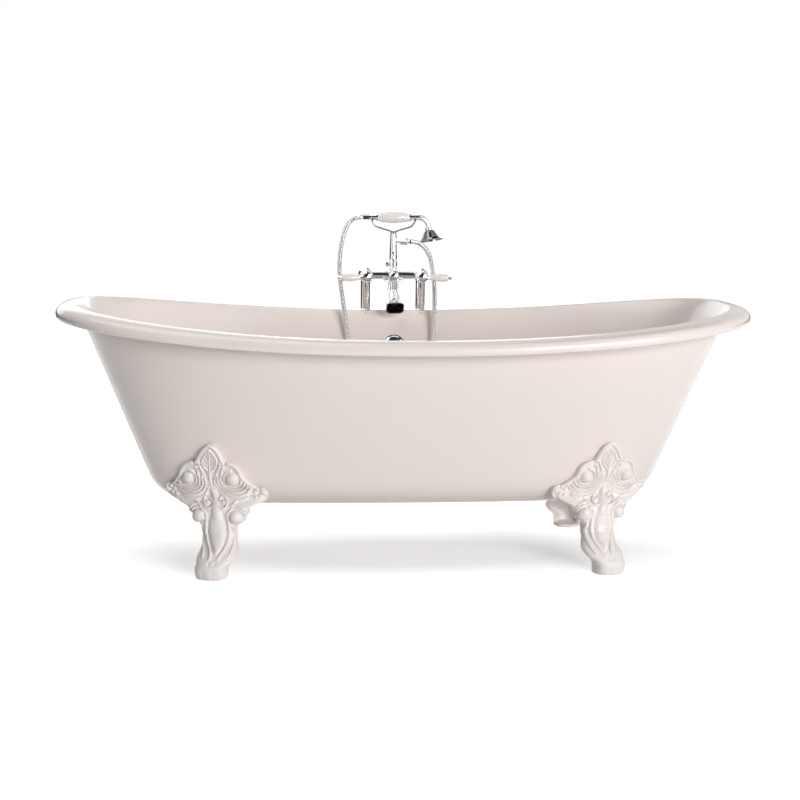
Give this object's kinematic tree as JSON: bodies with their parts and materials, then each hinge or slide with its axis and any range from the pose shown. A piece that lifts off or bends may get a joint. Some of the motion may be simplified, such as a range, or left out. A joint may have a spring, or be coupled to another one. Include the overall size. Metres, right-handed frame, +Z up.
{
  "type": "cast iron bathtub",
  "caption": "Double-ended roll-top cast iron bath on ornate cast feet, with a rim-mounted bath and shower mixer, cradle handset on a ribbed hose and a pop-up waste.",
  "frame": {"origin": "on the floor under the middle of the bath", "axes": "+X along the bath to the right, +Y from the front to the side with the taps, +Z up"},
  "size_m": [1.6999, 0.8, 0.843],
  "materials": {
    "bath_enamel": "glossy cream vitreous enamel",
    "foot_enamel": "cream enamel paint, satin",
    "chrome": "polished chrome plate",
    "hose_chrome": "ribbed chrome sleeve",
    "white_ceramic": "glazed white",
    "seal_rubber": "black rubber",
    "bolt_steel": "zinc plated steel",
    "plain_brass": "plain brass"
  },
  "bodies": {
    "bath": {"bath_shell": "bath_enamel", "foot_back_left": "foot_enamel", "foot_back_right": "foot_enamel", "foot_front_left": "foot_enamel", "foot_front_right": "foot_enamel", "foot_bolts": "bolt_steel", "foot_washers": "bolt_steel", "waste_flange": "chrome", "waste_seal": "seal_rubber", "waste_locknut": "plain_brass", "overflow_bezel": "chrome", "overflow_seal": "seal_rubber", "overflow_elbow": "chrome", "left_pillar": "chrome", "right_pillar": "chrome", "deck_washers": "seal_rubber", "back_nuts": "plain_brass", "mixer_body": "chrome", "spout": "chrome", "left_bonnet": "chrome", "right_bonnet": "chrome", "diverter_bonnet": "chrome", "riser_collar": "chrome", "riser": "chrome", "cradle_screw": "chrome", "hose_outlet": "chrome", "outlet_hose_nut": "chrome", "cradle_fork": "chrome", "hose": "hose_chrome"},
    "left_lever": {"left_spindle": "chrome", "left_lever_arm": "chrome", "left_lever_grip": "white_ceramic", "left_lever_tip": "chrome", "left_lever_cap": "chrome"},
    "right_lever": {"right_spindle": "chrome", "right_lever_arm": "chrome", "right_lever_grip": "white_ceramic", "right_lever_tip": "chrome", "right_lever_cap": "chrome"},
    "diverter": {"diverter_lever": "chrome", "diverter_cap": "chrome"},
    "clamp_knob": {"riser_clamp_knob": "chrome"},
    "overflow_control": {"overflow_knob": "chrome", "overflow_spindle": "chrome"},
    "plug": {"waste_plug": "chrome", "plug_seal": "seal_rubber"},
    "handset": {"handset_tail": "chrome", "grip_collars": "chrome", "handset_core": "plain_brass", "handset_grip": "white_ceramic", "handset_neck": "chrome", "rose_nut": "chrome", "rose_bell": "chrome", "rose_plate": "chrome", "handset_hose_nut": "chrome"}
  },
  "joints": [
    {"name": "left_lever_turn", "type": "hinge", "parent": "bath", "child": "left_lever", "pos_m": [-0.075, 0.363, 0.672], "axis": [0, 1, 0], "range_deg": [0, 90]},
    {"name": "right_lever_turn", "type": "hinge", "parent": "bath", "child": "right_lever", "pos_m": [0.075, 0.363, 0.672], "axis": [0, -1, 0], "range_deg": [0, 90]},
    {"name": "diverter_turn", "type": "hinge", "parent": "bath", "child": "diverter", "pos_m": [0, 0.363, 0.672], "axis": [0, 1, 0], "range_deg": [0, 90]},
    {"name": "clamp_knob_turn", "type": "hinge", "parent": "bath", "child": "clamp_knob", "pos_m": [0, 0.363, 0.702], "axis": [1, 0, 0], "range_deg": [-180, 180]},
    {"name": "overflow_turn", "type": "hinge", "parent": "bath", "child": "overflow_control", "pos_m": [0, 0.31445, 0.484], "axis": [0, -0.9218, 0.3876], "range_deg": [0, 90]},
    {"name": "plug_lift", "type": "slide", "parent": "bath", "child": "plug", "axis": [0, 0, 1], "range_m": [0, 0.01]},
    {"name": "handset_lift", "type": "slide", "parent": "bath", "child": "handset", "axis": [0, 0, 1], "range_m": [0, 0.08], "deforming": ["hose"]}
  ],
  "couplings": [
    {"joint": "plug_lift", "follows": "overflow_turn", "m_per_rad": 0.0063662}
  ]
}
